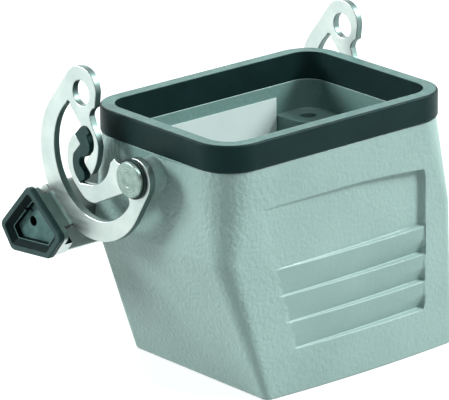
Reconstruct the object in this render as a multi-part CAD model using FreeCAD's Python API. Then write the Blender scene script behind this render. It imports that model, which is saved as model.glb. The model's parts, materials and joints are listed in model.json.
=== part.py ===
import FreeCAD, Part
import math
import os

# Heavy duty rectangular connector: a six-pole hood for cable, lying on its closed side with the
# mating face up, with one locking lever along its long side.
# Millimetres. +X runs along the long side to the cable entry, +Y to the lever's grip and +Z up.
# The origin is on the rest face, straight below the centre of the mating face.

V = FreeCAD.Vector
X_AXIS = V(1, 0, 0)
Y_AXIS = V(0, 1, 0)
Z_AXIS = V(0, 0, 1)
ORIGIN = V(0, 0, 0)

# Mating rim and its sealing collar
rim_length = 60.0
rim_width = 43.0
height = 54.2
rim_corner = 8.0
collar_depth = 5.6
collar_top_width = 3.0
collar_foot_width = 3.7
collar_edge = 0.45
tongue_outset = 1.2
tongue_width = 1.2
tongue_cover = 1.8

# Cast hood
body_inset = 0.3
front_corner = 4.2
back_corner = 2.6
foot_corner = 1.5
belly_inset = 0.05
side_crown = 0.9
top_crown_share = 0.1
fold_height = 29.8
left_fold_inset = 0.3
left_foot_inset = 11.0
right_fold_outset = 0.8
right_foot_outset = 1.0
foot_edge = 0.5
fold_round = 4.0
fold_steps = 3
corner_arcs = 3
wall = 3.0
floor_wall = 3.2
cavity_corner = 4.5

# Insert seats: four bosses with threaded holes
seat_depth = 12.0
screw_spacing_x = 44.0
screw_spacing_y = 27.0
screw_core_radius = 1.65
screw_hole_depth = 12.0
boss_half = 4.7
boss_length = 19.0
boss_round = 4.4

# Cable entry in the right end
entry_height = 17.0
entry_core_radius = 9.2
entry_length = 9.0
entry_pad_radius = 13.0
entry_chamfer = 0.8

# Grip panel in the front face
panel_right_inset = 7.2
panel_top_depth = 14.0
panel_top_drop = 1.3
panel_drop_share = 0.33
panel_depth = 1.3
panel_left_depth = 0.15
panel_draft = 0.55
panel_fade = 1.8
panel_proud = 0.05
panel_top_round = 0.9
panel_foot_round = 1.7
panel_left_top_inset = 8.1
panel_left_foot_inset = 17.1
panel_steps = 5
ledge_top = 27.1
ledge_pitch = 5.83
ledge_count = 4
ledge_lip = 0.35
ledge_depth = 1.3
ledge_left_depth = 0.4
ledge_skin = 0.05
ledge_belly = 0.25

# Blank label on the inner wall
label_width = 28.0
label_height = 17.0
label_thickness = 0.15
label_boss_gap = 0.2
label_top_depth = 8.3

# Pivots
pivot_depth = 9.6
stud_radius = 2.5
stud_head_radius = 3.65
stud_head_height = 1.0
stud_head_edge = 0.25
stud_face_dish = 0.2
stud_dish_radius = 1.65
stud_dish_floor_radius = 1.3
stud_seat_depth = 2.0
pivot_boss_radius = 3.5
pivot_clearance = 0.05
side_clearance = 0.1
washer_radius = 4.1
washer_thickness = 0.4

# Locking lever: sheet steel, arms outside the hood's ends
sheet = 1.5
arm_gap = 3.5
ring_pitch = 13.0
ring_rise = 0.2
ring_radius = 16.1
slot_radius = 12.7
slot_shift_y = -0.9
slot_shift_z = 1.0
lug_radius = 4.9
eye_y = 15.9
eye_z = 13.7
eye_radius = 5.4
eye_hole_radius = 2.6

# Folded grip of the lever
grip_overhang = 4.5
grip_round = 1.5
grip_inner_round = 0.3
grip_seam = 1.2
grip_rest_gap = 0.35
relief_width = 2.0
relief_tab = 8.2
relief_reach = 11.5
bend_radius = 0.6

# End caps of the grip
cap_flange = 1.3
cap_lip = 0.25
cap_rim = 1.2
cap_rim_round = 0.9
cap_pocket_step = 1.2
cap_pocket_ledge = 0.2
cap_pocket_round = 0.5
cap_step_depth = 1.1
cap_pocket_depth = 2.3
cap_fit = 0.08
cap_plug_length = 1.9
cap_hole_radius = 1.05
cap_hole_y = 1.6
cap_hole_z = 1.2
cap_dimple_radius = 0.55
cap_dimple_y = 1.9
cap_dimple_z = 3.7
cap_dimple_depth = 0.3
cap_edge = 0.25

# Elastic inserts in the arms
insert_fit = 0.04

# Cutting solids run past what they cut by this much
pass_by = 1.0

# Places worked out from the sizes above
rim_half_x = rim_length / 2
rim_half_y = rim_width / 2
body_top = height - collar_depth
body_half_y = rim_half_y - body_inset
belly_half_y = rim_half_y - belly_inset
left_fold = rim_half_x - left_fold_inset
left_foot = rim_half_x - left_foot_inset
right_fold = rim_half_x + right_fold_outset
right_foot = rim_half_x + right_foot_outset
cavity_half_x = rim_half_x - collar_foot_width
cavity_half_y = rim_half_y - collar_foot_width
seat_height = height - seat_depth
panel_top = height - panel_top_depth
panel_right = rim_half_x - panel_right_inset
panel_left_top = panel_left_top_inset - rim_half_x
panel_left_foot = panel_left_foot_inset - rim_half_x
pivot_height = height - pivot_depth
arm_inner_face = rim_half_x + arm_gap
arm_outer_face = arm_inner_face + sheet
cap_face = arm_outer_face + grip_overhang
sleeve_end = cap_face - cap_flange
# The lever's outlines are drawn for a ring pitch of 13
lever_size = ring_pitch / 13.0


def extrude(wire, vector):
    return Part.Face(wire).extrude(vector)


def block(x0, x1, y0, y1, z0, z1):
    return Part.makeBox(x1 - x0, y1 - y0, z1 - z0, V(x0, y0, z0))


def mirrored(shape):
    return shape.mirror(ORIGIN, X_AXIS)


def curved(start, pole, end, weight=1.0):
    """Edge bent towards one pole; the cosine of half an arc's turn as weight makes it circular."""
    curve = Part.BezierCurve()
    curve.setPoles([start, pole, end])
    curve.setWeight(2, weight)
    return curve.toShape()


def section(x0, x1, half_y, corners, z, crown=0.0):
    """Closed outline at height z; a crown bows its long sides out.

    The corner radii run from the front left corner on through front right, back right, back left.
    """
    front_left, front_right, back_right, back_left = corners
    side = half_y - crown
    middle = (x0 + x1) / 2

    def long_side(a, b, y):
        if crown == 0:
            return Part.makeLine(V(a, y, z), V(b, y, z))
        return curved(V(a, y, z), V(middle, y + math.copysign(2 * crown, y), z), V(b, y, z))

    def corner(x, y, radius, start):
        """Quarter round about (x, y), anticlockwise from a start angle in degrees."""
        centre = V(x, y, z)
        if crown == 0:
            return [Part.makeCircle(radius, centre, Z_AXIS, start, start + 90)]
        turn = math.radians(90 / corner_arcs)
        reach = radius / math.cos(turn / 2)
        arcs = []
        for i in range(corner_arcs):
            angle = math.radians(start) + turn * i
            places = ((angle, radius), (angle + turn / 2, reach), (angle + turn, radius))
            poles = [centre + V(r * math.cos(a), r * math.sin(a), 0) for a, r in places]
            arcs.append(curved(*poles, math.cos(turn / 2)))
        return arcs

    edges = [long_side(x0 + front_left, x1 - front_right, -side)]
    edges += corner(x1 - front_right, -side + front_right, front_right, 270)
    edges.append(Part.makeLine(V(x1, -side + front_right, z), V(x1, side - back_right, z)))
    edges += corner(x1 - back_right, side - back_right, back_right, 0)
    edges.append(long_side(x1 - back_right, x0 + back_left, side))
    edges += corner(x0 + back_left, side - back_left, back_left, 90)
    edges.append(Part.makeLine(V(x0, side - back_left, z), V(x0, -side + front_left, z)))
    edges += corner(x0 + front_left, -side + front_left, front_left, 180)
    return Part.Wire(edges)


def loft(*wires):
    return Part.makeLoft(list(wires), True, True)


def stacked(wires):
    """Solid through a row of outlines, each pair joined by straight sides."""
    pieces = [loft(first, second) for first, second in zip(wires, wires[1:])]
    return pieces[0].fuse(pieces[1:])


def flattened(solid):
    """The same solid with a true plane under each face that a loft left as a flat spline surface."""
    faces = []
    for face in solid.Faces:
        if face.Surface.TypeId != "Part::GeomPlane" and face.Surface.isPlanar(1e-6):
            plane = Part.Plane(*[vertex.Point for vertex in face.Vertexes[:3]])
            face = Part.Face(plane, face.OuterWire)
        faces.append(face)
    shell = Part.makeShell(faces)
    shell.sewShape()
    whole = Part.makeSolid(shell)
    return whole if whole.Volume > 0 else whole.reversed()


def edge_steps(radius):
    """Places (along, inset) of an edge rounded by two flats, from the side to the end face."""
    dip = radius * (1 - math.sqrt(0.5))
    return [(radius, 0.0), (dip, dip), (0.0, radius)]


def rim_section(inset, z):
    corners = (rim_corner - inset,) * 4
    return section(-rim_half_x + inset, rim_half_x - inset, rim_half_y - inset, corners, z)


def edges_at(shape, test):
    """Edges whose two ends and middle all pass a test on their place."""
    chosen = []
    for edge in shape.Edges:
        first, last = edge.ParameterRange
        points = [edge.valueAt(first), edge.valueAt((first + last) / 2), edge.valueAt(last)]
        if all(test(p) for p in points):
            chosen.append(edge)
    return chosen


# Hood

def fold_places():
    """Places (x, z) round the fold of the left end, from its upright part to its slanting one."""
    lean = math.atan2(left_fold - left_foot, fold_height)
    reach = fold_round * math.tan(lean / 2)
    top = fold_height + reach
    places = []
    for i in range(fold_steps + 1):
        turn = lean * i / fold_steps
        places.append((-left_fold + fold_round * (1 - math.cos(turn)), top - fold_round * math.sin(turn)))
    return places


def hood_outside():
    top_end = rim_half_x - body_inset
    top_corners = (rim_corner - body_inset,) * 4
    low_corners = (front_corner, back_corner, back_corner, back_corner)
    wires = [section(-top_end, top_end, body_half_y, top_corners, body_top, side_crown * top_crown_share)]
    places = [(x, z, 0.0) for x, z in fold_places()]
    last_x, last_z = places[-1][:2]
    for z, cut in edge_steps(foot_edge):
        places.append((-left_foot + (last_x + left_foot) * z / last_z, z, cut))
    for x, z, cut in places:
        rise = z / fold_height
        right = right_foot + (right_fold - right_foot) * rise
        corners = [foot_corner + (radius - foot_corner) * rise - cut for radius in low_corners]
        wires.append(section(x + cut, right - cut, belly_half_y - cut, corners, z, side_crown))
    return flattened(stacked(wires))


def hood_cavity():
    lean = (left_fold - left_foot) / fold_height
    floor_left = left_foot + lean * floor_wall - wall
    corners = (cavity_corner,) * 4
    top = section(-cavity_half_x, cavity_half_x, cavity_half_y, corners, body_top)
    fold = section(-cavity_half_x, right_fold - wall, cavity_half_y, corners, fold_height)
    floor = section(-floor_left, right_foot - wall, cavity_half_y, corners, floor_wall)
    return flattened(stacked([top, fold, floor]))


def seat_boss(side_x, side_y):
    """Corner block that carries one screw of the insert; it runs out past the hood's own walls."""
    inner_x = screw_spacing_x / 2 - boss_half
    inner_y = screw_spacing_y / 2 - boss_half
    outer_x = right_foot + wall
    outer_y = rim_half_y + wall
    low = seat_height - boss_length
    boss = block(inner_x, outer_x, inner_y, outer_y, low, seat_height)
    corner = edges_at(boss, lambda p: abs(p.x - inner_x) < 0.01 and abs(p.y - inner_y) < 0.01)
    boss = boss.makeFillet(boss_round, corner)
    if side_x < 0:
        boss = boss.mirror(ORIGIN, X_AXIS)
    if side_y < 0:
        boss = boss.mirror(ORIGIN, Y_AXIS)
    return boss


def screw_hole(side_x, side_y):
    place = V(side_x * screw_spacing_x / 2, side_y * screw_spacing_y / 2, seat_height)
    return Part.makeCylinder(screw_core_radius, screw_hole_depth, place, -Z_AXIS)


def front_surface(x, z):
    """Y of the bowed front face at a place on it."""
    top_end = rim_half_x - body_inset
    up = max(0.0, min(1.0, (z - fold_height) / (body_top - fold_height)))
    down = max(0.0, 1 - z / fold_height)
    left = left_fold + (left_foot - left_fold) * down + (top_end - left_fold) * up
    right = right_fold + (right_foot - right_fold) * down + (top_end - right_fold) * up
    half = belly_half_y + (body_half_y - belly_half_y) * up
    crown = side_crown * (1 - (1 - top_crown_share) * up)
    top_corner = rim_corner - body_inset
    corner = front_corner + (foot_corner - front_corner) * down + (top_corner - front_corner) * up
    reach = (right + left) / 2 - corner
    return -half + crown * ((x - (right - left) / 2) / reach) ** 2


def grip_panel():
    """Recess of the front face: a sunk field above a run of ledges, fading out to the left."""
    ledges = [ledge_top - ledge_pitch * i for i in range(ledge_count)]
    foot = ledges[-1]
    span = panel_right - panel_left_foot

    def station(t, sunk, top_round=0.0, foot_round=0.0):
        """Outline at a share t of the way left; sunk is 0 where the recess ends and 1 inside it."""
        top = panel_top - panel_top_drop * max(0, 1 - t / panel_drop_share) - top_round
        field = panel_depth + (panel_left_depth - panel_depth) * t
        deep = ledge_depth + (ledge_left_depth - ledge_depth) * t
        fade = deep / ledge_depth
        rows = [(top, None), (top, -panel_proud), (top - panel_draft, field), (ledges[0], field)]
        for upper, lower in zip(ledges, ledges[1:]):
            edge = upper - ledge_lip * fade
            rows.append((edge, ledge_skin * fade))
            rows.append(((edge + lower) / 2, (ledge_skin + ledge_belly) * fade))
            rows.append((lower, deep))
        rows[-1] = (foot + foot_round, deep)
        low = foot + foot_round - ledge_lip * fade
        rows += [(low, -panel_proud), (low, None)]
        corners = []
        for z, depth in rows:
            left = panel_left_foot + (panel_left_top - panel_left_foot) * (z - foot) / (panel_top - foot)
            x = panel_right + (left - panel_right) * t
            if depth is None:
                y = -belly_half_y - pass_by
            else:
                y = front_surface(x, z) + depth * sunk - panel_proud * (1 - sunk)
            corners.append(V(x, y, z))
        return Part.makePolygon(corners + corners[:1])

    first = panel_draft / span
    last = 1 - panel_fade / span
    stations = [station(0, 0, panel_top_round, panel_foot_round)]
    stations += [station(first + (last - first) * i / panel_steps, 1) for i in range(panel_steps + 1)]
    stations.append(station(1, 0))
    return Part.makeLoft(stations, True, True)


def pivot_boss():
    start = V(rim_half_x - wall, 0, pivot_height)
    return Part.makeCylinder(pivot_boss_radius, arm_inner_face - side_clearance - start.x, start, X_AXIS)


def pivot_seat():
    start = V(rim_half_x - stud_seat_depth, 0, pivot_height)
    return Part.makeCylinder(stud_radius, arm_outer_face - start.x, start, X_AXIS)


def hood_shell():
    outside = hood_outside()
    shell = outside.cut(hood_cavity())
    for side_x in (-1, 1):
        for side_y in (-1, 1):
            shell = shell.fuse(seat_boss(side_x, side_y).common(outside))
    pad_start = V(right_foot - entry_length, 0, entry_height)
    pad = Part.makeCylinder(entry_pad_radius, entry_length, pad_start, X_AXIS)
    shell = shell.fuse(pad.common(outside))
    tongue_top = height - tongue_cover
    tongue = loft(rim_section(tongue_outset, body_top - wall), rim_section(tongue_outset, tongue_top))
    tongue_hole = loft(rim_section(tongue_outset + tongue_width, body_top - wall),
                       rim_section(tongue_outset + tongue_width, tongue_top))
    shell = shell.fuse(tongue.cut(tongue_hole))
    shell = shell.fuse([pivot_boss(), mirrored(pivot_boss())])
    cuts = [pivot_seat(), mirrored(pivot_seat()), grip_panel()]
    for side_x in (-1, 1):
        for side_y in (-1, 1):
            cuts.append(screw_hole(side_x, side_y))
    cuts.append(Part.makeCylinder(entry_core_radius, entry_length + 2 * pass_by,
                                  pad_start - X_AXIS * pass_by, X_AXIS))
    mouth = entry_core_radius + entry_chamfer
    cuts.append(Part.makeCone(entry_core_radius, mouth, entry_chamfer,
                              V(right_foot - entry_chamfer, 0, entry_height), X_AXIS))
    return shell.cut(cuts).removeSplitter()


def rim_seal():
    steps = edge_steps(collar_edge)
    wires = [rim_section(cut, body_top + along) for along, cut in reversed(steps)]
    wires += [rim_section(cut, height - along) for along, cut in steps]
    body = stacked(wires)
    hole = loft(rim_section(collar_foot_width, body_top), rim_section(collar_top_width, height))
    groove = loft(rim_section(tongue_outset, body_top), rim_section(tongue_outset, height - tongue_cover))
    groove_core = loft(rim_section(tongue_outset + tongue_width, body_top),
                       rim_section(tongue_outset + tongue_width, height - tongue_cover))
    return body.cut(hole).cut(groove.cut(groove_core))


def inner_label():
    x1 = screw_spacing_x / 2 - boss_half - label_boss_gap
    top = height - label_top_depth
    return block(x1 - label_width, x1, cavity_half_y - label_thickness, cavity_half_y,
                 top - label_height, top)


# Pivots

def pivot_stud():
    """Turned stud along X for the right end: seat in the hood, bearing in the arm, head outside."""
    head_start = arm_outer_face + side_clearance + washer_thickness
    foot = rim_half_x - stud_seat_depth
    head_end = head_start + stud_head_height
    edge = stud_head_edge
    outline = [
        V(foot, 0, 0), V(foot, stud_radius, 0), V(head_start, stud_radius, 0),
        V(head_start, stud_head_radius, 0), V(head_end - edge, stud_head_radius, 0),
        V(head_end, stud_head_radius - edge, 0), V(head_end, stud_dish_radius, 0),
        V(head_end - stud_face_dish, stud_dish_floor_radius, 0), V(head_end - stud_face_dish, 0, 0),
    ]
    wire = Part.makePolygon(outline + outline[:1])
    stud = Part.Face(wire).revolve(ORIGIN, X_AXIS, 360)
    return stud.translated(V(0, 0, pivot_height))


def head_washer():
    start = V(arm_outer_face + side_clearance, 0, pivot_height)
    disc = Part.makeCylinder(washer_radius, washer_thickness, start, X_AXIS)
    return disc.cut(Part.makeCylinder(stud_radius, washer_thickness, start, X_AXIS))


# Lever arm: outline seen along X, measured from the pivot

def lever(y, z):
    return V(0, y * lever_size, pivot_height + z * lever_size)


def real(y, z):
    return V(0, y, pivot_height + z)


RING = real(ring_pitch, ring_rise)
EYE = real(eye_y, eye_z)
LUG = real(0, 0)
SLOT = real(ring_pitch + slot_shift_y * lever_size, ring_rise + slot_shift_z * lever_size)


def around(centre, radius, degrees):
    a = math.radians(degrees)
    return centre + V(0, radius * math.cos(a), radius * math.sin(a))


def bearing(centre, point):
    return math.degrees(math.atan2(point.z - centre.z, point.y - centre.y))


def tangent(c1, r1, c2, r2, side):
    """Ends of the line that touches two circles on the side +1 or -1 of the way from c1 to c2."""
    way = bearing(c1, c2)
    gap = c1.distanceToPoint(c2)
    turn = math.degrees(math.acos((r1 - r2) / gap))
    return around(c1, r1, way + side * turn), around(c2, r2, way + side * turn)


def trace(start, steps):
    """Closed wire from a start point and steps: one point is a line, two are an arc."""
    edges = []
    here = start
    for step in steps:
        if len(step) == 1:
            edges.append(Part.makeLine(here, step[0]))
        else:
            edges.append(Part.Arc(here, step[0], step[1]).toShape())
        here = step[-1]
    if here.distanceToPoint(start) > 1e-6:
        edges.append(Part.makeLine(here, start))
    return Part.Wire(edges)


def arm_wire():
    eye_left, ring_left = tangent(EYE, eye_radius, RING, ring_radius, 1)
    ring_low, lug_low = tangent(RING, ring_radius, LUG, lug_radius, 1)
    eye_right = lever(11.3, 14.4)
    lug_end = around(LUG, lug_radius, 140)
    slot_low = around(SLOT, slot_radius, 215)
    slot_top = around(SLOT, slot_radius, 48)
    neck = lever(13.4, 9.6)
    fingertip = lever(18.2, 4.9)
    return trace(neck, [
        [lever(12.9, 10.7), lever(11.7, 11.6)],
        [eye_right],
        [lever(12.1, 17.2), around(EYE, eye_radius, 112)],
        [around(EYE, eye_radius, 80), eye_left],
        [ring_left],
        [around(RING, ring_radius, -60), ring_low],
        [lug_low],
        [around(LUG, lug_radius, 180), lug_end],
        [lever(-1.0, 4.2), lever(2.1, 3.3)],
        # Notch and point beside the lug, then the jaw that takes the mating peg
        [lever(3.9, 2.0), lever(5.9, 2.7)],
        [lever(7.2, 1.5)],
        [lever(9.2, -2.4), lever(12.6, -4.5)],
        [lever(16.8, -5.0)],
        # Finger: inner side with its key, tip, and back
        [lever(17.9, -3.8)],
        [lever(18.9, -1.4), lever(18.6, 0.7)],
        [lever(16.4, 3.1)],
        [fingertip],
        [lever(20.7, -0.3), lever(17.3, -6.2)],
        [lever(14.8, -8.0), lever(12.1, -8.1)],
        # Crescent slot
        [lever(3.6, -4.0)],
        [lever(1.9, -4.3), slot_low],
        [around(SLOT, slot_radius, -50), slot_top],
        [lever(20.0, 11.2), lever(19.4, 10.4)],
        [lever(16.1, 7.0)],
        [lever(14.2, 7.2)],
        # Tooth
        [lever(12.4, 5.3), lever(12.4, 2.7)],
        [lever(14.9, -0.2)],
        [lever(14.9, -0.8)],
        [lever(13.1, -2.5)],
        [lever(11.4, 0.6), lever(10.8, 3.8)],
        [lever(11.5, 6.0), lever(12.7, 7.7)],
    ])


def insert_wire():
    """Elastic insert: fills the finger's side of the gap and keeps clear of the tooth."""
    fit = insert_fit
    return trace(lever(16.1, 6.9 - fit), [
        [lever(18.0, 4.9)],
        [lever(16.4 - fit, 3.1)],
        [lever(18.6 - fit, 0.7)],
        [lever(18.9 - fit, -1.4), lever(17.9 - fit, -3.8)],
        [lever(16.8, -5.0 + fit)],
        [lever(15.3, -3.9)],
        [lever(15.6, -2.3), lever(16.6, -1.5)],
        [lever(16.9, -0.4), lever(15.6, 0.6)],
        [lever(13.7, 2.2), lever(14.1, 4.6)],
        [lever(14.4, 5.3)],
        [lever(13.5, 6.1)],
        [lever(14.3, 7.1 - fit)],
    ])


# Grip: profile seen along X, measured from the pivot

def line_meeting(p1, d1, p2, d2):
    cross = d1[0] * d2[1] - d1[1] * d2[0]
    t = ((p2[0] - p1[0]) * d2[1] - (p2[1] - p1[1]) * d2[0]) / cross
    return (p1[0] + d1[0] * t, p1[1] + d1[1] * t)


def inset(points, distance):
    """Corner points of a polygon, listed anticlockwise, moved inwards by a distance."""
    lines = []
    for a, b in zip(points, points[1:] + points[:1]):
        length = math.hypot(b[0] - a[0], b[1] - a[1])
        way = ((b[0] - a[0]) / length, (b[1] - a[1]) / length)
        lines.append(((a[0] - way[1] * distance, a[1] + way[0] * distance), way))
    moved = []
    for i in range(len(points)):
        before = lines[i - 1]
        after = lines[i]
        moved.append(line_meeting(before[0], before[1], after[0], after[1]))
    return moved


def rounded(points, radius, x):
    """Wire in the plane X = x with every corner of a polygon rounded."""
    count = len(points)
    edges = []
    ends = []
    for i in range(count):
        corner = points[i]
        sides = []
        for other in (points[i - 1], points[(i + 1) % count]):
            length = math.hypot(other[0] - corner[0], other[1] - corner[1])
            sides.append(((other[0] - corner[0]) / length, (other[1] - corner[1]) / length))
        half = math.acos(max(-1.0, min(1.0, sides[0][0] * sides[1][0] + sides[0][1] * sides[1][1]))) / 2
        reach = radius / math.tan(half)
        middle = (sides[0][0] + sides[1][0], sides[0][1] + sides[1][1])
        size = math.hypot(middle[0], middle[1])
        dip = radius / math.sin(half) - radius
        place = [(corner[0] + s[0] * reach, corner[1] + s[1] * reach) for s in sides]
        crest = (corner[0] + middle[0] / size * dip, corner[1] + middle[1] / size * dip)
        ends.append((place[0], crest, place[1]))
    for i in range(count):
        before, crest, after = [V(x, p[0], pivot_height + p[1]) for p in ends[i]]
        edges.append(Part.Arc(before, crest, after).toShape())
        following = ends[(i + 1) % count][0]
        edges.append(Part.makeLine(after, V(x, following[0], pivot_height + following[1])))
    return Part.Wire(edges)


def prism(points, radius, x0, x1):
    return extrude(rounded(points, radius, x0), V(x1 - x0, 0, 0))


def grip_outline():
    """Cap outline, anticlockwise seen with Y to the right and Z up: top, front, the foot's ends, back."""
    corners = [(27.9, -7.2), (17.3, -15.8), (21.7, -21.2), (33.7, -22.3), (37.3, -17.4)]
    return [(y * lever_size, z * lever_size) for y, z in corners]


def sleeve_outline():
    return inset(grip_outline(), cap_lip)


def bar_outline():
    """Grip between the arms: its front is set back so that it lies beside the hood."""
    top, front, low_front, low_back, back = sleeve_outline()
    set_back = belly_half_y + grip_rest_gap
    slope = (top[1] - front[1]) / (top[0] - front[0])
    shoulder = (set_back, front[1] + slope * (set_back - front[0]))
    low_slope = (low_back[1] - low_front[1]) / (low_back[0] - low_front[0])
    heel = (set_back, low_front[1] + low_slope * (set_back - low_front[0]))
    return [top, shoulder, heel, low_back, back]


def tube(outline, x0, x1):
    skin = prism(outline, grip_round, x0, x1)
    return skin.cut(prism(inset(outline, sheet), grip_inner_round, x0, x1))


def relief(along_from, along_to):
    """Notch beside the fold, along the line from the grip's front corner to its top corner."""
    top, front = sleeve_outline()[:2]
    length = math.hypot(top[0] - front[0], top[1] - front[1])
    way = ((top[0] - front[0]) / length, (top[1] - front[1]) / length)
    out = (-way[1], way[0])
    middle = ((top[0] + front[0]) / 2, (top[1] + front[1]) / 2)
    outer = sheet
    inner = -2 * sheet
    corners = []
    for along, depth in ((along_from, outer), (along_to, outer), (along_to, inner), (along_from, inner)):
        y = middle[0] + way[0] * along + out[0] * depth
        z = middle[1] + way[1] * along + out[1] * depth
        corners.append(V(-arm_outer_face, y, pivot_height + z))
    wire = Part.makePolygon(corners + corners[:1])
    return extrude(wire, V(-relief_width, 0, 0))


def fold_fillet():
    """Inside radius where the arm's outer face meets the grip's front face."""
    top, front = sleeve_outline()[:2]
    length = math.hypot(top[0] - front[0], top[1] - front[1])
    way = V(0, (top[0] - front[0]) / length, (top[1] - front[1]) / length)
    out = V(0, -way.z, way.y)
    middle = V(-arm_outer_face, (top[0] + front[0]) / 2, pivot_height + (top[1] + front[1]) / 2)
    start = middle - way * (relief_tab / 2)
    corner = start
    on_arm = start + out * bend_radius
    on_grip = start - X_AXIS * bend_radius
    centre = start + out * bend_radius - X_AXIS * bend_radius
    crest = centre + (corner - centre) * (1 / math.sqrt(2))
    edges = [Part.makeLine(on_arm, corner), Part.makeLine(corner, on_grip),
             Part.Arc(on_grip, crest, on_arm).toShape()]
    return extrude(Part.Wire(edges), way * relief_tab)


def left_arm():
    """Arm plate, cut off at the grip's front face, with its end of the folded grip."""
    blank = extrude(arm_wire(), X_AXIS * sheet).translated(V(-arm_outer_face, 0, 0))
    pivot_hole = Part.makeCylinder(stud_radius + pivot_clearance, sheet,
                                   LUG - X_AXIS * arm_outer_face, X_AXIS)
    eye_hole = Part.makeCylinder(eye_hole_radius, sheet, EYE - X_AXIS * arm_outer_face, X_AXIS)
    blank = blank.cut([pivot_hole, eye_hole])
    grip_core = prism(inset(sleeve_outline(), sheet), grip_inner_round, -arm_outer_face, -arm_inner_face)
    blank = blank.cut(grip_core)
    sleeve = tube(sleeve_outline(), -sleeve_end, -arm_outer_face)
    half_tab = relief_tab / 2
    sleeve = sleeve.cut([relief(half_tab, relief_reach), relief(-relief_reach, -half_tab)])
    return blank.fuse([sleeve, fold_fillet()])


def locking_bow():
    bar = tube(bar_outline(), -arm_outer_face, arm_outer_face)
    low_front, low_back = bar_outline()[2:4]
    seam_y = (low_front[0] + low_back[0]) / 2
    seam = block(-cap_face, cap_face, seam_y - grip_seam / 2, seam_y + grip_seam / 2,
                 pivot_height + low_back[1] - sheet, pivot_height + low_front[1] + sheet)
    arm = left_arm()
    bow = bar.fuse([arm, mirrored(arm)])
    return bow.cut(seam).removeSplitter()


def spring_insert():
    return extrude(insert_wire(), X_AXIS * sheet).translated(V(-arm_outer_face, 0, 0))


def grip_cap():
    """Moulded end cap of the left end: flange, plug into the grip, stepped pocket and hole."""
    outline = grip_outline()
    face = -cap_face
    back = -sleeve_end
    flange = loft(rounded(inset(outline, cap_edge), grip_round - cap_edge, face),
                  rounded(outline, grip_round, face + cap_edge))
    flange = flange.fuse(prism(outline, grip_round, face + cap_edge, back))
    plug_outline = inset(sleeve_outline(), sheet + cap_fit)
    plug = prism(plug_outline, grip_inner_round, back, back + cap_plug_length)
    mouth = inset(outline, cap_rim)
    floor = inset(outline, cap_rim + cap_pocket_step)
    step_x = face + cap_step_depth
    pocket = loft(rounded(mouth, cap_rim_round, face), rounded(floor, cap_pocket_round, step_x))
    deep = inset(outline, cap_rim + cap_pocket_step + cap_pocket_ledge)
    pocket = pocket.fuse(prism(deep, cap_pocket_round, step_x, face + cap_pocket_depth))
    centre_y = sum(p[0] for p in outline) / len(outline)
    centre_z = pivot_height + sum(p[1] for p in outline) / len(outline)
    hole = Part.makeCylinder(cap_hole_radius, cap_flange + cap_plug_length + cap_rim,
                             V(face, centre_y + cap_hole_y, centre_z + cap_hole_z), X_AXIS)
    dimple = Part.makeCylinder(cap_dimple_radius, cap_pocket_depth + cap_dimple_depth,
                               V(face, centre_y + cap_dimple_y, centre_z + cap_dimple_z), X_AXIS)
    return flange.fuse(plug).cut([pocket, hole, dimple]).removeSplitter()


def write(name, shape):
    shape.exportStep("parts/" + name + ".step")


def main():
    os.makedirs("parts", exist_ok=True)
    write("hood_shell", hood_shell())
    write("rim_seal", rim_seal())
    write("inner_label", inner_label())
    write("locking_bow", locking_bow())
    write("pivot_stud_right", pivot_stud())
    write("pivot_stud_left", mirrored(pivot_stud()))
    write("head_washer_right", head_washer())
    write("head_washer_left", mirrored(head_washer()))
    write("spring_insert_left", spring_insert())
    write("spring_insert_right", mirrored(spring_insert()))
    write("grip_cap_left", grip_cap())
    write("grip_cap_right", mirrored(grip_cap()))


main()
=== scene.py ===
import json
import math

import bmesh
import bpy
from mathutils import Matrix, Vector
from mathutils.bvhtree import BVHTree


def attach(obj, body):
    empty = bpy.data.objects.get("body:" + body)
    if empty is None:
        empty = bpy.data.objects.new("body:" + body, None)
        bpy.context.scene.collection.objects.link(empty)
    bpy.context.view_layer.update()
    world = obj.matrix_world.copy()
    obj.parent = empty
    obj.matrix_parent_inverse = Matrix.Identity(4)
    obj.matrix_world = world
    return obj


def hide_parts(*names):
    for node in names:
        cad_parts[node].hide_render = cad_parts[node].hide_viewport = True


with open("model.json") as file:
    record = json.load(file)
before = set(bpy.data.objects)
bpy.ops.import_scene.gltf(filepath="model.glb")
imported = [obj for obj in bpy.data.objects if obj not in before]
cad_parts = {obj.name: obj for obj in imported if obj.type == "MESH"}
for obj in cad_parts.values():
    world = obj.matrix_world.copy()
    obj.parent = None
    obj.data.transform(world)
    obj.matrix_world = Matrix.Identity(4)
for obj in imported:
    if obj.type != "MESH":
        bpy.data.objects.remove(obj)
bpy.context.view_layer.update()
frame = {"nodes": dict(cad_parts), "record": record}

nodes = frame["nodes"]
behaviour = frame["record"]["behaviour"]
bodies = {node: body for body, listed in behaviour["bodies"].items() for node in listed}
scene = bpy.context.scene

METRE = 1000.0
MM = 1 / METRE


def across(name):
    """Lowest and highest X of a CAD node."""
    places = [vert.co.x for vert in nodes[name].data.vertices]
    return min(places), max(places)


# Places on the hood

PIVOT_HEIGHT = behaviour["joints"][0]["pos_m"][2]
INNER_Y = 19.3 * MM
LEDGE_X = -11.5 * MM
LEDGE_SLANT = 0.3
LEDGE_Y = -18.5 * MM
LEDGE_LOW = 9.0 * MM
LEDGE_HIGH = 28.0 * MM
LEDGE_LEAST_LEAN = 0.022
LEDGE_MOST_LEAN = 0.6
STRONG_PEEL_X = -29.0 * MM
WEAK_PEEL_X = -14.0 * MM

# Places on the lever, whose inserts are as thick as its arms

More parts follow.
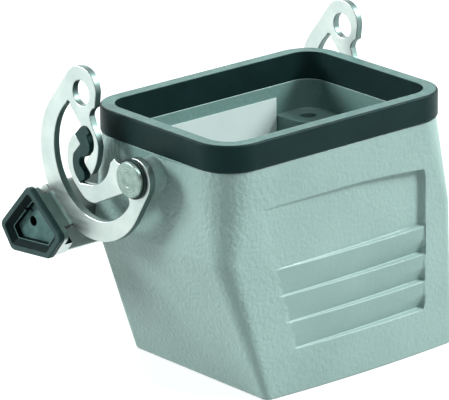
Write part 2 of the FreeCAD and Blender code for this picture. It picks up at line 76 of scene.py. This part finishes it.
ARM_ROOM = 0.02 * MM
ARM_FACES = across("spring_insert_right")
ARM_INNER = ARM_FACES[0] + ARM_ROOM
ARM_OUTER = ARM_FACES[1] - ARM_ROOM
GRIP_Y = 27.6 * MM
GRIP_Z = 27.8 * MM
GRIP_FRONT = 17.0 * MM
GRIP_TOP = 38.5 * MM
NOTCH_WIDTH = 2.0 * MM
NOTCH_MIDDLE = ARM_FACES[1] + NOTCH_WIDTH / 2
NOTCH_END = ARM_FACES[1] + NOTCH_WIDTH
NOTCH_ROOM = 0.1 * MM
CAP_END = across("grip_cap_right")[1]
SUNK_BY = 0.2 * MM

# Share of a face's normal that points one way

BARELY = 0.2
PARTLY = 0.5
MOSTLY = 0.9
NEARLY_ALL = 0.95

# Meshes and worked edges

WELD = 0.003 * MM
FLAT = math.radians(0.05)
CREASE = math.radians(32)
BEVEL_STEPS = 2
RAY_START = 0.1 * MM
WALLS_ROUND = 3

# Colours and finishes

OPAQUE = 1.0
WHITE = (1.0, 1.0, 1.0, OPAQUE)
SEAL_TINT = (0.55, 1.0, 0.95, OPAQUE)
PLASTIC_TINT = (0.6, 1.0, 0.97, OPAQUE)
FULL_CHANNEL = 255
SRGB_KNEE = 0.04045
SRGB_SLOPE = 12.92
SRGB_OFFSET = 0.055
SRGB_POWER = 2.4
NOISE_MIDDLE = (0.3, 0.7)
ROUGH_SPREAD = 0.06
STREAKS = (1.0, 0.12, 1.0)
RING_STEP = 0.55 * MM

# Camera, floor and light

CAMERA_PLACE = Vector((-0.55736, -0.64469, 0.32130))
CAMERA_RIGHT = Vector((0.76114, -0.64851, -0.01039))
CAMERA_UP = Vector((0.21574, 0.23803, 0.94699))
CAMERA_BACK = Vector((-0.61166, -0.72303, 0.32108))
CAMERA_LENS = 362.04
CAMERA_SENSOR = 36.0
CAMERA_NEAR = 0.01
CAMERA_FAR = 20.0
FLOOR_REACH = 1.5
FLOOR_HEIGHT = -0.02 * MM
FLOOR_LIFT = 0.6
LAMP_COLOUR = (0.93, 1.0, 0.99)
LAMP_TARGET = Vector((0, 0, 0.03))
SEEN_LIGHT = 1.0
FELT_LIGHT = 0.11
FELT_COLOUR = (0.9, 1.0, 0.985, OPAQUE)


# Node helpers

def linear(value):
    """One channel of an sRGB colour as linear light."""
    value = value / FULL_CHANNEL
    if value <= SRGB_KNEE:
        return value / SRGB_SLOPE
    return ((value + SRGB_OFFSET) / (1 + SRGB_OFFSET)) ** SRGB_POWER


def colour(red, green, blue):
    return (linear(red), linear(green), linear(blue), OPAQUE)


class Wiring:
    """A node tree with a few ways to add nodes to it."""

    def __init__(self, tree):
        self.tree = tree

    def feed(self, socket, value):
        """Give a socket a plain value or another node's output."""
        if isinstance(value, (int, float, tuple)):
            socket.default_value = value
        else:
            self.tree.links.new(value, socket)

    def add(self, kind, inputs, **settings):
        """A new node with its settings made and its inputs fed."""
        node = self.tree.nodes.new(kind)
        for key, value in settings.items():
            setattr(node, key, value)
        for socket, value in inputs.items():
            self.feed(node.inputs[socket], value)
        return node

    def math(self, operation, *values):
        return self.add("ShaderNodeMath", dict(enumerate(values)), operation=operation).outputs["Value"]

    def watched(self):
        """One for rays from the camera or a reflection, and zero for the others."""
        path = self.add("ShaderNodeLightPath", {}).outputs
        return self.math("MAXIMUM", path["Is Camera Ray"], path["Is Glossy Ray"])


class Finish(Wiring):
    """A material with its shader and the nodes that finishes share."""

    def __init__(self, name):
        self.material = bpy.data.materials.new(name)
        self.material.use_nodes = True
        super().__init__(self.material.node_tree)
        self.shader = self.tree.nodes["Principled BSDF"]
        self.place = self.add("ShaderNodeTexCoord", {}).outputs["Object"]

    def set(self, socket, value):
        self.feed(self.shader.inputs[socket], value)

    def along(self, axis):
        """The place along one axis of the object."""
        return self.add("ShaderNodeSeparateXYZ", {"Vector": self.place}).outputs[axis]

    def stretched(self, scale):
        """Coordinates of the object, stretched per axis."""
        return self.add("ShaderNodeMapping", {"Scale": scale, "Vector": self.place}).outputs["Vector"]

    def noise(self, size_mm, detail=2.0, roughness=0.5, place=None):
        inputs = {"Scale": METRE / size_mm, "Detail": detail, "Roughness": roughness}
        inputs["Vector"] = place or self.place
        return self.add("ShaderNodeTexNoise", inputs).outputs["Fac"]

    def span(self, value, start, end, at_start, at_end):
        """A value that goes from at_start to at_end while another goes from start to end."""
        inputs = {"Value": value, "From Min": start, "From Max": end, "To Min": at_start, "To Max": at_end}
        return self.add("ShaderNodeMapRange", inputs).outputs["Result"]

    def paint(self, noise, low, high):
        """A base colour that goes from low to high over the middle of a noise."""
        node = self.add("ShaderNodeValToRGB", {"Fac": noise})
        for element, at, shade in zip(node.color_ramp.elements, NOISE_MIDDLE, (low, high)):
            element.position = at
            element.color = shade
        self.set("Base Color", node.outputs["Color"])

    def roughen(self, noise, low, high):
        """A roughness that goes from low to high over the middle of a noise."""
        self.set("Roughness", self.span(noise, *NOISE_MIDDLE, low, high))

    def shine(self, level, tint=WHITE):
        self.set("Specular IOR Level", level)
        self.set("Specular Tint", tint)

    def bump(self, height, depth_mm, strength, under=None):
        """A bump on the plain surface or on the bump under it."""
        inputs = {"Height": height, "Distance": depth_mm * MM, "Strength": strength}
        if under is not None:
            inputs["Normal"] = under
        return self.add("ShaderNodeBump", inputs).outputs["Normal"]


# Materials

def powder_coat(name, low, high, peel_mm=0.32):
    """Grey green powder coat with a soft orange peel, stronger towards the slanted end."""
    look = Finish(name)
    look.paint(look.noise(size_mm=14.0), low, high)
    look.roughen(look.noise(size_mm=5.0, detail=3.0), low=0.34, high=0.44)
    look.shine(level=0.4)
    stronger = look.span(look.along("X"), STRONG_PEEL_X, WEAK_PEEL_X, at_start=0.95, at_end=0.5)
    peel = look.math("MULTIPLY", look.noise(size_mm=0.9, detail=2.5), stronger)
    soft = look.bump(peel, peel_mm, strength=0.95)
    look.set("Normal", look.bump(look.noise(size_mm=0.4), depth_mm=0.012, strength=0.6, under=soft))
    return look.material


def seal_rubber(name, low, high):
    look = Finish(name)
    look.paint(look.noise(size_mm=6.0, detail=3.0), low, high)
    look.roughen(look.noise(size_mm=1.4, detail=3.0), low=0.4, high=0.52)
    look.shine(level=0.14, tint=SEAL_TINT)
    look.set("Normal", look.bump(look.noise(size_mm=0.7, detail=3.0), depth_mm=0.02, strength=0.5))
    return look.material


def label_film():
    look = Finish("label")
    look.paint(look.noise(size_mm=9.0), colour(206, 218, 216), colour(213, 224, 222))
    look.roughen(look.noise(size_mm=2.0), low=0.45, high=0.6)
    look.set("Normal", look.bump(look.noise(size_mm=3.0), depth_mm=0.02, strength=0.4))
    return look.material


def lever_steel(name, low, high, rough=0.42):
    """Sheet steel with streaks along Y."""
    look = Finish(name)
    look.paint(look.noise(size_mm=7.0, detail=3.0), low, high)
    look.set("Metallic", 1.0)
    streaks = look.noise(size_mm=1.0, detail=3.0, roughness=0.6, place=look.stretched(STREAKS))
    look.roughen(streaks, rough - ROUGH_SPREAD, rough + ROUGH_SPREAD)
    grain = look.noise(size_mm=0.35, detail=3.0, roughness=0.6)
    look.set("Normal", look.bump(grain, depth_mm=0.008, strength=0.6))
    return look.material


def stud_steel():
    """Turned steel with rings about the pivot axis."""
    look = Finish("stud_steel")
    look.paint(look.noise(size_mm=1.2, detail=3.0), colour(112, 130, 124), colour(138, 154, 148))
    look.set("Metallic", 1.0)
    look.roughen(look.noise(size_mm=0.6, detail=3.0), low=0.28, high=0.42)
    sideways = look.along("Y")
    rise = look.math("SUBTRACT", look.along("Z"), PIVOT_HEIGHT)
    squares = [look.math("MULTIPLY", way, way) for way in (sideways, rise)]
    radius = look.math("SQRT", look.math("ADD", *squares))
    rings = look.math("SINE", look.math("MULTIPLY", radius, math.tau / RING_STEP))
    turned = look.bump(rings, depth_mm=0.03, strength=0.7)
    look.set("Normal", look.bump(look.noise(size_mm=0.3), depth_mm=0.01, strength=0.4, under=turned))
    return look.material


def black_plastic(name, low, high, grain_mm, rough, shine=0.22):
    look = Finish(name)
    look.paint(look.noise(size_mm=2.5, detail=3.0), low, high)
    look.roughen(look.noise(size_mm=1.2, detail=3.0), rough - ROUGH_SPREAD, rough + ROUGH_SPREAD)
    look.shine(level=shine, tint=PLASTIC_TINT)
    look.set("Normal", look.bump(look.noise(grain_mm, detail=3.0), depth_mm=0.02, strength=0.5))
    return look.material


def floor_paint():
    """Pale paint, lifted towards white only where it is seen directly or in a reflection."""
    look = Finish("floor_paint")
    look.paint(look.noise(size_mm=60.0), colour(188, 192, 191), colour(194, 197, 196))
    look.set("Roughness", 0.7)
    strength = look.math("MULTIPLY", look.watched(), FLOOR_LIFT)
    lift = look.add("ShaderNodeEmission", {"Color": WHITE, "Strength": strength})
    both = look.add("ShaderNodeAddShader", {0: look.shader.outputs["BSDF"], 1: lift.outputs["Emission"]})
    look.feed(look.tree.nodes["Material Output"].inputs["Surface"], both.outputs["Shader"])
    return look.material


hood_coat = powder_coat("hood_coat", colour(134, 157, 153), colour(142, 165, 161))
# Painted shade: a darker copy of the hood coat on the recess faces that lean back as they go down, with a
# finer peel
shaded_ledge_coat = powder_coat("shaded_ledge_coat", colour(127, 151, 147), colour(134, 158, 154), peel_mm=0.1)
# Painted shade: a darker copy of the hood coat on the faces inside the walls, where shade falls in the
# cavity
shaded_inner_coat = powder_coat("shaded_inner_coat", colour(106, 135, 131), colour(113, 143, 139), peel_mm=0.2)
seal = seal_rubber("seal", colour(8, 25, 25), colour(12, 32, 32))
# Painted light: a much lighter copy of the seal on its upward faces, in place of the grazing reflection of
# the bright surroundings
lit_seal_top = seal_rubber("lit_seal_top", colour(66, 96, 92), colour(78, 110, 106))
label = label_film()
steel = lever_steel("lever_steel", colour(164, 174, 171), colour(184, 192, 189))
# Painted shade: a darker copy of the lever steel on the cut edges, as if they reflected dark surroundings
shaded_cut_steel = lever_steel("shaded_cut_steel", colour(92, 110, 107), colour(112, 130, 127))
# Painted shade: a darker copy of the lever steel on the bar, toning down a lamp's reflection there; its
# higher roughness spreads that reflection
shaded_bar_steel = lever_steel("shaded_bar_steel", colour(124, 136, 133), colour(138, 149, 146), rough=0.66)
# Painted shade: a darker copy of the lever steel on the grip's front faces beyond the arms, where the arms
# shade them
shaded_sleeve_steel = lever_steel("shaded_sleeve_steel", colour(84, 104, 100), colour(114, 134, 130))
# Painted reflection: a much lighter copy of the lever steel on the grip's down-facing front faces, in
# place of the floor they reflect
lit_foot_steel = lever_steel("lit_foot_steel", colour(208, 218, 215), colour(226, 233, 231))
# Painted shade: a nearly black copy of the lever steel inside the folded grip and in the notches beside
# the arms
shaded_hollow_steel = lever_steel("shaded_hollow_steel", colour(14, 22, 21), colour(24, 34, 33))
stud = stud_steel()
washer = black_plastic("washer", colour(20, 30, 30), colour(30, 42, 41), grain_mm=0.5, rough=0.45)
insert = black_plastic("insert", colour(14, 36, 35), colour(22, 48, 46), grain_mm=0.6, rough=0.45)
cap = black_plastic("cap", colour(26, 44, 45), colour(36, 57, 57), grain_mm=0.6, rough=0.42)
cap_face = black_plastic("cap_face", colour(54, 80, 79), colour(84, 112, 109), grain_mm=0.35, rough=0.55)
# Painted shade: a nearly black copy of the cap plastic on the walls of the cap's pocket
shaded_cap_wall = black_plastic("shaded_cap_wall", colour(6, 14, 14), colour(11, 21, 21), grain_mm=0.6, rough=0.6,
                         shine=0.08)


# Tests of a face by its centre and its normal

def walled_in(thing, half_width):
    """Test for the faces inside the walls: level rays from them meet walls nearly all round."""
    shape = bmesh.new()
    shape.from_mesh(thing.data)
    tree = BVHTree.FromBMesh(shape)
    shape.free()
    sides = [Vector(way) for way in ((1, 0, 0), (-1, 0, 0), (0, 1, 0), (0, -1, 0))]

    def test(centre, normal):
        start = centre + normal * RAY_START
        walls = sum(tree.ray_cast(start, side)[0] is not None for side in sides)
        return abs(centre.y) < half_width and walls >= WALLS_ROUND

    return test


def on_a_ledge(centre, normal):
    """Faces of the front recess that lean back as they go down."""
    beside = centre.x > LEDGE_X - LEDGE_SLANT * (centre.z - LEDGE_LOW) and centre.y < LEDGE_Y
    return beside and LEDGE_LOW < centre.z < LEDGE_HIGH and LEDGE_LEAST_LEAN < -normal.z < LEDGE_MOST_LEAN


def facing_up(centre, normal):
    return normal.z > NEARLY_ALL


def on_a_cut_edge(centre, normal):
    """Faces across the thickness of an arm."""
    return ARM_INNER < abs(centre.x) < ARM_OUTER and abs(normal.x) < PARTLY


def in_the_grip(place):
    """Whether a place on the bow lies in its folded grip."""
    return place.y > GRIP_FRONT and place.z < GRIP_TOP


def looks_inwards(centre, normal):
    """Faces that look at the middle line of the grip."""
    return (GRIP_Y - centre.y) * normal.y + (GRIP_Z - centre.z) * normal.z > 0


def inside_the_grip(centre, normal):
    return in_the_grip(centre) and abs(normal.x) < PARTLY and looks_inwards(centre, normal)


def on_the_bar(centre, normal):
    """Faces of the grip between the arms."""
    return in_the_grip(centre) and abs(centre.x) < ARM_INNER and abs(normal.x) < PARTLY


def on_the_sleeve(centre, normal):
    """Front faces of the grip beyond the arms, but for the foot."""
    front = normal.y < -BARELY and normal.z > -BARELY
    return in_the_grip(centre) and abs(centre.x) > ARM_OUTER and front


def on_the_foot(centre, normal):
    """Faces of the grip that look down to the front."""
    return in_the_grip(centre) and normal.y < -PARTLY and normal.z < -PARTLY


def in_a_notch(centre, normal):
    """Faces of the notches beside the arms."""
    middle = abs(abs(centre.x) - NOTCH_MIDDLE) < NOTCH_ROOM
    end = abs(abs(centre.x) - NOTCH_END) < NOTCH_ROOM and abs(normal.x) > MOSTLY
    return in_the_grip(centre) and (middle or end)


def on_the_pocket_floor(centre, normal):
    """Sunk faces of a cap that look along X, away from the middle."""
    return abs(centre.x) < CAP_END - SUNK_BY and normal.x * math.copysign(1, centre.x) > MOSTLY


def on_the_pocket_walls(centre, normal):
    return abs(normal.x) < MOSTLY and looks_inwards(centre, normal)


# Pieces

def sharp_copy(name):
    """A CAD node's mesh with its seams welded, its flat faces whole and its creases marked."""
    mesh = nodes[name].data.copy()
    mesh.name = name + "_shown"
    if "custom_normal" in mesh.attributes:
        mesh.attributes.remove(mesh.attributes["custom_normal"])
    shape = bmesh.new()
    shape.from_mesh(mesh)
    bmesh.ops.remove_doubles(shape, verts=shape.verts, dist=WELD)
    bmesh.ops.dissolve_limit(shape, angle_limit=FLAT, verts=shape.verts, edges=shape.edges)
    for face in shape.faces:
        face.smooth = True
    worked = shape.edges.layers.float.new("bevel_weight_edge")
    for edge in shape.edges:
        edge.smooth = len(edge.link_faces) == 2 and edge.calc_face_angle(0.0) < CREASE
        folded = name == "locking_bow" and any(in_the_grip(vert.co) for vert in edge.verts)
        edge[worked] = 0.0 if edge.smooth or folded else 1.0
    shape.to_mesh(mesh)
    shape.free()
    return mesh


def dressed(name, finish, edge_mm):
    """A copy of a CAD node with a finish and worked edges, which stands for the node."""
    thing = bpy.data.objects.new(name + "_shown", sharp_copy(name))
    scene.collection.objects.link(thing)
    for slot in thing.material_slots:
        slot.material = finish
    if edge_mm:
        bevel = thing.modifiers.new("worked_edges", "BEVEL")
        bevel.width = edge_mm * MM
        bevel.segments = BEVEL_STEPS
        bevel.limit_method = "WEIGHT"
        bevel.use_clamp_overlap = False
        even = thing.modifiers.new("even_shading", "WEIGHTED_NORMAL")
        even.keep_sharp = True
    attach(thing, bodies[name])
    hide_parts(name)
    return thing


def second_finish(thing, finish, chosen):
    """Another finish on the faces for which chosen(centre, normal) holds."""
    mesh = thing.data
    mesh.materials.append(finish)
    shape = bmesh.new()
    shape.from_mesh(mesh)
    for face in shape.faces:
        if chosen(face.calc_center_bounds(), face.normal):
            face.material_index = len(mesh.materials) - 1
    shape.to_mesh(mesh)
    shape.free()


def pair(name):
    return [name + "_left", name + "_right"]


# Each row has the nodes, their finish and the width of their worked edges in millimetres
looks = [
    (["hood_shell"], hood_coat, 0.14),
    (["rim_seal"], seal, 0.12),
    (["inner_label"], label, 0.0),
    (pair("pivot_stud"), stud, 0.12),
    (pair("head_washer"), washer, 0.08),
    (["locking_bow"], steel, 0.14),
    (pair("spring_insert"), insert, 0.1),
    (pair("grip_cap"), cap, 0.05),
]
shown = {name: dressed(name, finish, edge_mm) for names, finish, edge_mm in looks for name in names}

# painted shade on the faces inside the hood's cavity
second_finish(shown["hood_shell"], shaded_inner_coat, walled_in(shown["hood_shell"], INNER_Y))
# painted shade on the downward-leaning faces of the front recess
second_finish(shown["hood_shell"], shaded_ledge_coat, on_a_ledge)
# painted light on the seal's upward faces
second_finish(shown["rim_seal"], lit_seal_top, facing_up)

# A later finish of the bow takes faces from an earlier one
bow_finishes = [
    # painted shade on the cut edges of the arms
    (shaded_cut_steel, on_a_cut_edge),
    # painted shade on the bar between the arms
    (shaded_bar_steel, on_the_bar),
    # painted shade on the grip's front faces beyond the arms
    (shaded_sleeve_steel, on_the_sleeve),
    # painted reflection on the grip's down-facing front faces
    (lit_foot_steel, on_the_foot),
    # painted shade inside the grip and in the notches beside the arms
    (shaded_hollow_steel, inside_the_grip),
    (shaded_hollow_steel, in_a_notch),
]
for finish, chosen in bow_finishes:
    second_finish(shown["locking_bow"], finish, chosen)
for name in pair("grip_cap"):
    second_finish(shown[name], cap_face, on_the_pocket_floor)
    # painted shade on the walls of the cap's pocket
    second_finish(shown[name], shaded_cap_wall, on_the_pocket_walls)


# Camera

def place_camera():
    data = bpy.data.cameras.new("camera")
    data.lens = CAMERA_LENS
    data.sensor_width = CAMERA_SENSOR
    data.sensor_fit = "HORIZONTAL"
    data.clip_start = CAMERA_NEAR
    data.clip_end = CAMERA_FAR
    camera = bpy.data.objects.new("camera", data)
    scene.collection.objects.link(camera)
    pose = Matrix.Identity(4)
    for column, axis in enumerate((CAMERA_RIGHT, CAMERA_UP, CAMERA_BACK, CAMERA_PLACE)):
        for row in range(3):
            pose[row][column] = axis[row]
    camera.matrix_world = pose
    scene.camera = camera


place_camera()


# Floor, light and backdrop

def flat_floor():
    """A square floor just under the hood."""
    mesh = bpy.data.meshes.new("floor")
    around = ((-1, -1), (1, -1), (1, 1), (-1, 1))
    corners = [(FLOOR_REACH * x, FLOOR_REACH * y, FLOOR_HEIGHT) for x, y in around]
    mesh.from_pydata(corners, [], [(0, 1, 2, 3)])
    mesh.update()
    mesh.materials.append(floor_paint())
    thing = bpy.data.objects.new("floor", mesh)
    scene.collection.objects.link(thing)
    return thing


def soft_light(name, place, size, power):
    """A lamp of this width and height that looks at the object."""
    data = bpy.data.lights.new(name, "AREA")
    data.shape = "RECTANGLE"
    data.size, data.size_y = size
    data.energy = power
    data.color = LAMP_COLOUR
    lamp = bpy.data.objects.new(name, data)
    scene.collection.objects.link(lamp)
    lamp.location = place
    lamp.rotation_euler = (LAMP_TARGET - Vector(place)).to_track_quat("-Z", "Y").to_euler()


def lit_world():
    """White where it is seen, and weak and cool where it only lights the object."""
    world = bpy.data.worlds.new("world")
    world.use_nodes = True
    world.node_tree.nodes.clear()
    wiring = Wiring(world.node_tree)
    felt = wiring.add("ShaderNodeBackground", {"Color": FELT_COLOUR, "Strength": FELT_LIGHT})
    seen = wiring.add("ShaderNodeBackground", {"Color": WHITE, "Strength": SEEN_LIGHT})
    inputs = {0: wiring.watched(), 1: felt.outputs["Background"], 2: seen.outputs["Background"]}
    picked = wiring.add("ShaderNodeMixShader", inputs)
    wiring.add("ShaderNodeOutputWorld", {"Surface": picked.outputs["Shader"]})
    return world


floor = flat_floor()
soft_light("end_light", place=(-0.7, 0.62, 0.5), size=(0.35, 0.35), power=12.2)
soft_light("front_light", place=(0.82, -0.74, 0.92), size=(0.5, 0.4), power=28.0)
soft_light("back_light", place=(0.62, 0.95, 0.5), size=(0.9, 0.6), power=3.6)
soft_light("top_light", place=(0.02, -0.5, 1.15), size=(0.3, 0.3), power=4.0)
scene.world = lit_world()
scene.view_settings.view_transform = "Standard"
